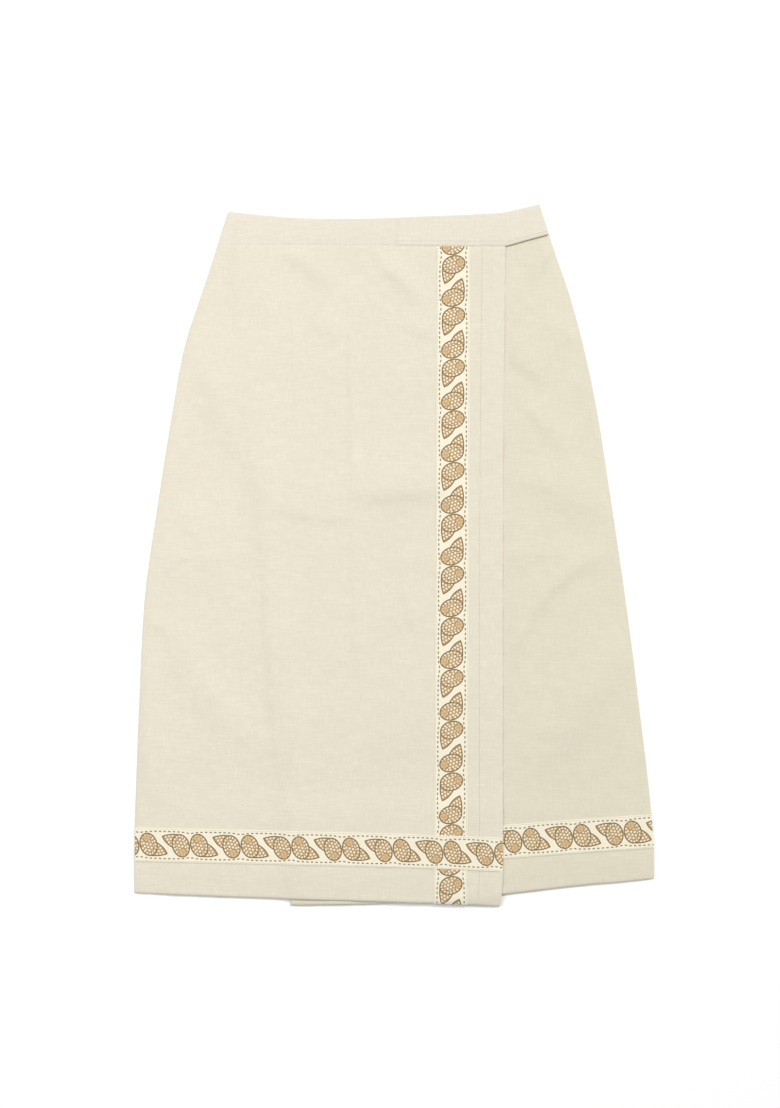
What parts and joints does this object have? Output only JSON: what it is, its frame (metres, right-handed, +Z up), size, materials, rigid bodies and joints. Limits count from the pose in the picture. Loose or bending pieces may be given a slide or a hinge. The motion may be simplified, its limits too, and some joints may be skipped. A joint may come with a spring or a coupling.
{
  "type": "wrap dhoti laid flat",
  "caption": "Ready-made wrap dhoti laid flat, front up: cream cloth wrapped to one side, folded waistband, printed border tapes down the free edge and along the hem.",
  "frame": {"origin": "middle of the laid garment's bounding box, on the surface it rests on", "axes": "+X to the right seen from above, +Y from the hem to the waistband, +Z up off the resting surface"},
  "size_m": [0.601, 0.8122, 0.0082],
  "materials": {
    "panel_cloth": "matt unbleached plain weave, cream, with slubs",
    "waistband_cloth": "matt unbleached plain weave, pressed and topstitched",
    "border_tape": "smooth off-white tape printed with a tan netted shell repeat"
  },
  "bodies": {
    "root": {"back_panel": "panel_cloth", "front_under_wrap": "panel_cloth", "front_over_wrap": "panel_cloth", "border_tape_under_wrap": "border_tape", "border_tape_upright": "border_tape", "border_tape_over_wrap": "border_tape", "waistband_back": "waistband_cloth", "waistband_under_wrap": "waistband_cloth", "waistband_over_wrap": "waistband_cloth", "waistband_wrap_end": "waistband_cloth"}
  },
  "joints": []
}
